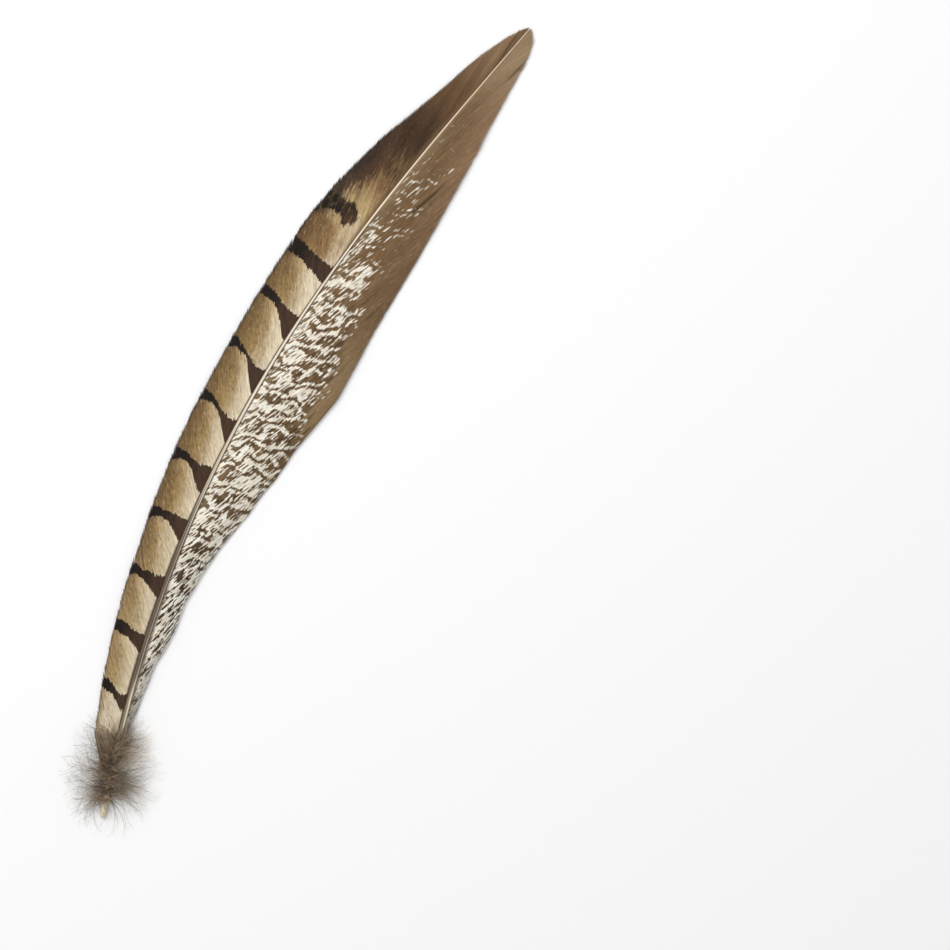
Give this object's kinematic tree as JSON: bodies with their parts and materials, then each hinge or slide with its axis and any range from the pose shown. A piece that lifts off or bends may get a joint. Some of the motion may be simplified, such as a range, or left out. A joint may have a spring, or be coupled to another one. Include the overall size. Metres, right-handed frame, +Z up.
{
  "type": "pheasant tail feather",
  "caption": "Long curved tail feather lying flat: tapering shaft, narrow barred outer vane, wider mottled inner vane, and tufts of down at the foot.",
  "frame": {"origin": "on the surface that the feather lies on, below the middle of its box", "axes": "+Y from the quill towards the tip, +Z up from the surface, so that the patterned upper side faces +Z; the wide inner vane is at +X of the shaft"},
  "size_m": [0.0578, 0.3026, 0.0057],
  "materials": {
    "shaft_horn": "smooth horn, satin",
    "barred_vane": "close barbs, tan cells with near-black bars",
    "mottled_vane": "close barbs, cream and brown vermiculation, plain brown tip",
    "grey_brown_down": "loose soft down",
    "pale_down": "loose soft down"
  },
  "bodies": {
    "root": {"shaft": "shaft_horn", "outer_vane": "barred_vane", "inner_vane": "mottled_vane", "outer_down": "grey_brown_down", "inner_down": "pale_down"}
  },
  "joints": []
}
